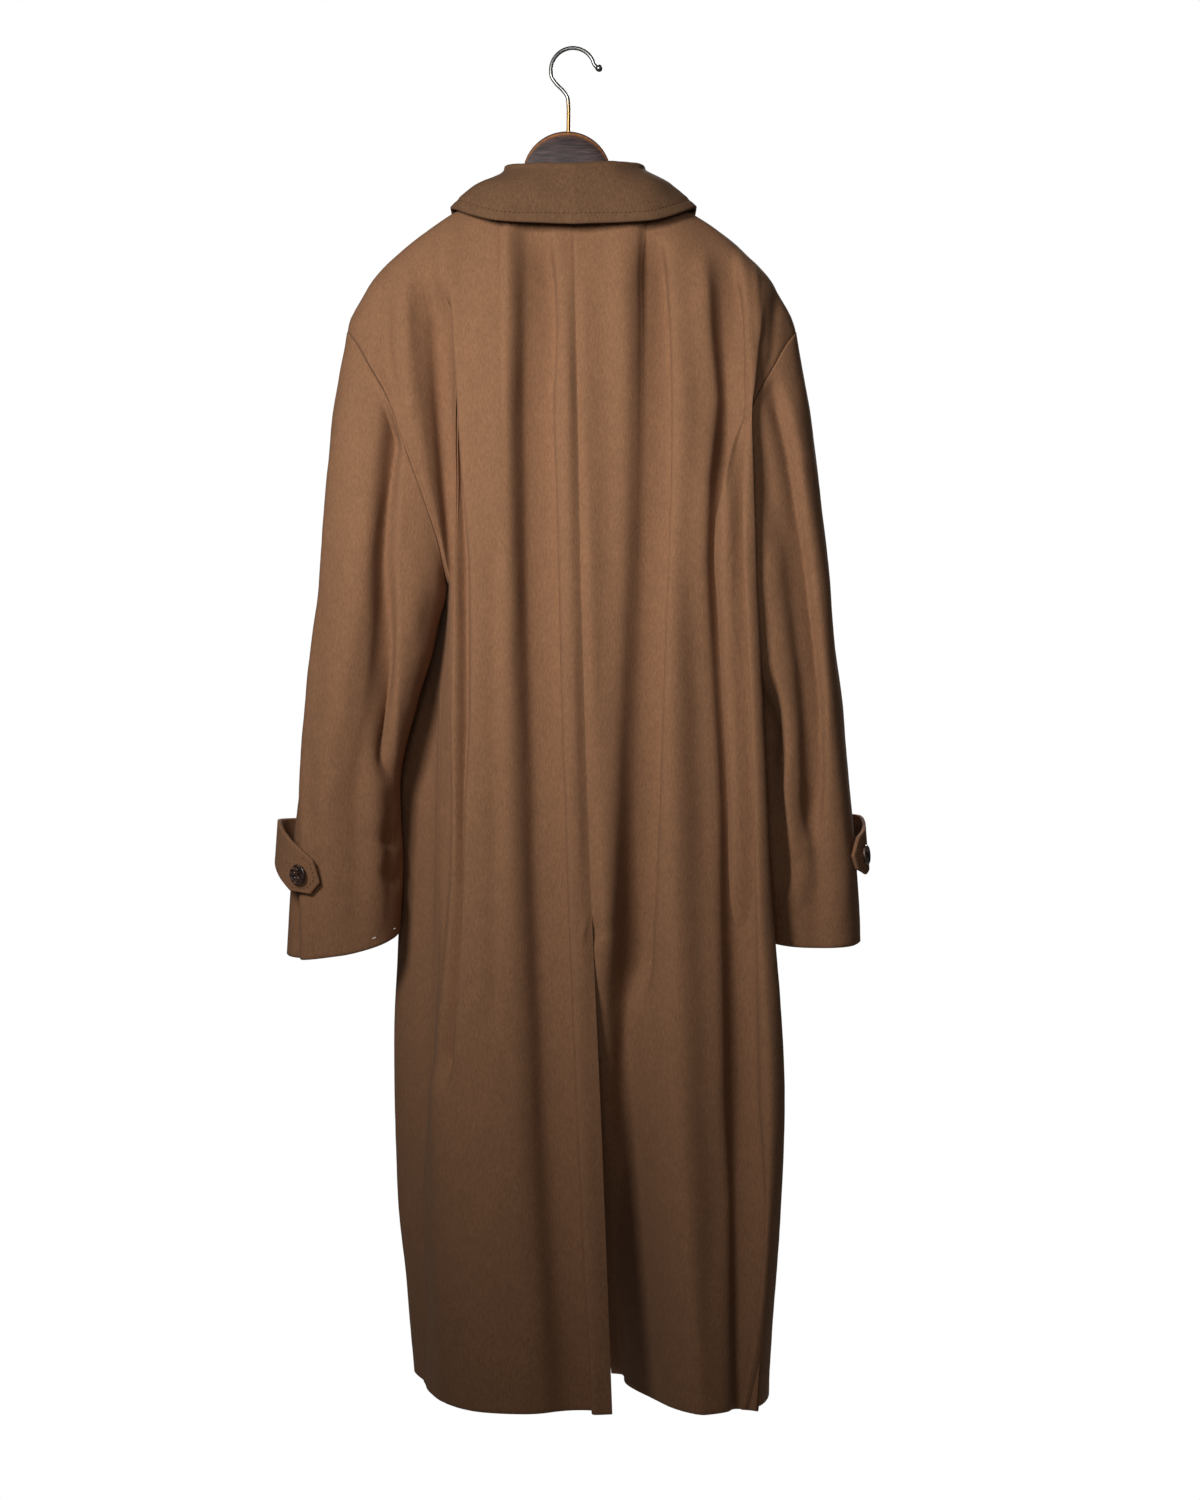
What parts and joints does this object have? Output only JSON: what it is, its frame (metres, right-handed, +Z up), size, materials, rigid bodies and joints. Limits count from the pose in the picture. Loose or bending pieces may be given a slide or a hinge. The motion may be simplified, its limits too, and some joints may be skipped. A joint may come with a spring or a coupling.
{
  "type": "wool overcoat on a wooden hanger",
  "caption": "Long single-breasted wool overcoat with a turned-down collar, tabbed sleeves and a back vent, hung on a wooden hanger with a wire hook.",
  "frame": {"origin": "inner top of the hanger's hook, where a rail or peg holds it", "axes": "+Z up; the coat's front faces -Y and its back +Y; the wearer's left is +X"},
  "size_m": [0.5968, 0.2457, 1.3423],
  "materials": {
    "wool": "matte, napped",
    "horn": "marbled, polished",
    "wood": "satin varnish",
    "steel": "bright wire"
  },
  "bodies": {
    "root": {"back_right": "wool", "back_left": "wool", "front_left": "wool", "front_right": "wool", "sleeve_left": "wool", "sleeve_right": "wool", "collar": "wool", "sleeve_tab_left": "wool", "sleeve_tab_right": "wool", "cuff_button_left": "horn", "cuff_spare_button_left": "horn", "cuff_button_right": "horn", "cuff_spare_button_right": "horn", "front_button_1": "horn", "front_button_2": "horn", "front_button_3": "horn", "front_button_4": "horn", "hanger_body": "wood", "hanger_hook": "steel"}
  },
  "joints": []
}
